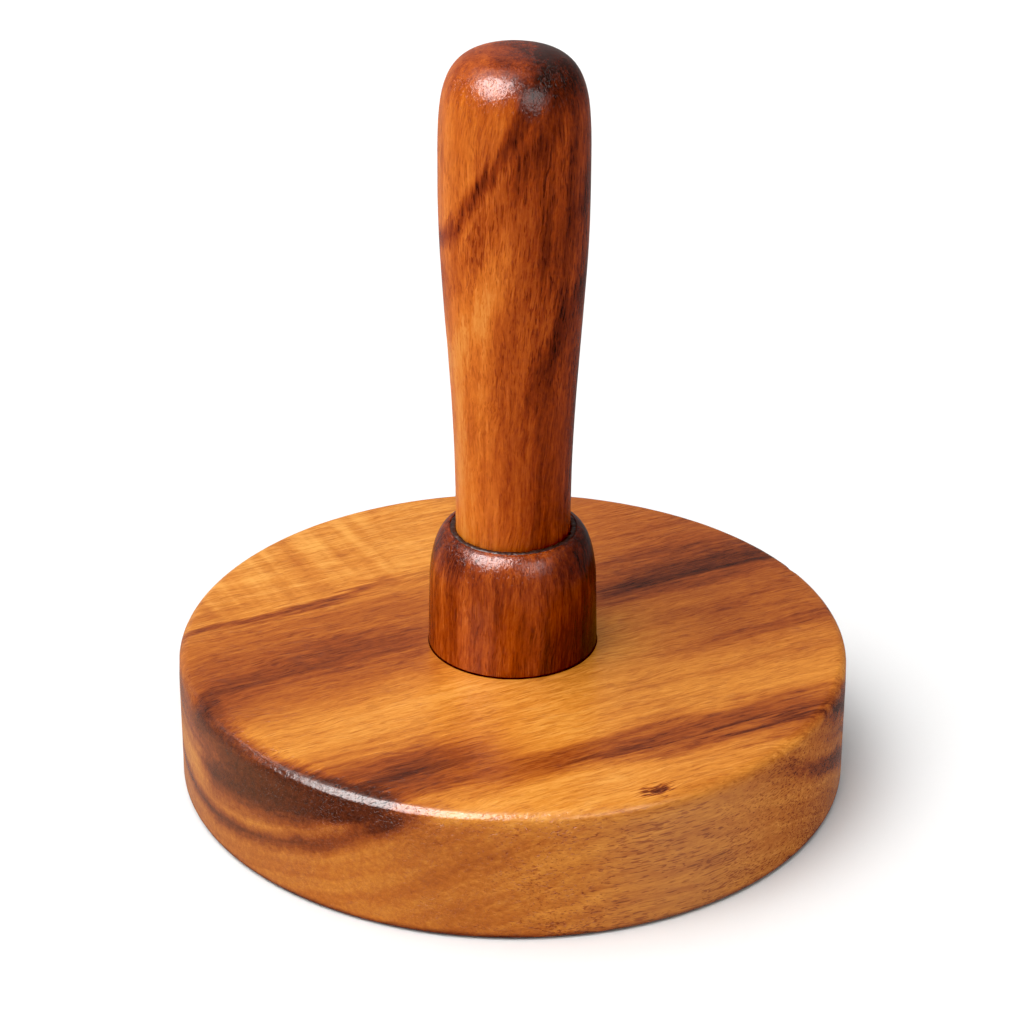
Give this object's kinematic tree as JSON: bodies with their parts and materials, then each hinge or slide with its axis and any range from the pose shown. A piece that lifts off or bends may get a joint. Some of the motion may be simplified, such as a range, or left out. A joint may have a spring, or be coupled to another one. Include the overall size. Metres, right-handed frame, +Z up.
{
  "type": "patty press",
  "caption": "Round wooden hand press: a thick flat disc that flattens meat into patties, with an upright turned grip standing in a collar at its middle.",
  "frame": {"origin": "centre of the disc's flat underside, which rests on the table or the meat", "axes": "+Z up the axis that the disc, the collar and the grip were turned on; the object is round, so X and Y are free, and the disc's long grain runs roughly along X"},
  "size_m": [0.127, 0.127, 0.143],
  "materials": {
    "disc_wood": "golden brown acacia with dark brown figure, gloss varnish",
    "collar_wood": "dark red-brown wood, gloss varnish",
    "handle_wood": "orange-brown acacia with diagonal dark bands, gloss varnish",
    "set_glue": "set dark glue, rough and beaded",
    "screw_steel": "plain zinc-plated steel"
  },
  "bodies": {
    "root": {"press_disc": "disc_wood", "base_glue_line": "set_glue", "collar": "collar_wood", "handle_glue_bead": "set_glue", "handle": "handle_wood", "dowel_screw": "screw_steel"}
  },
  "joints": []
}
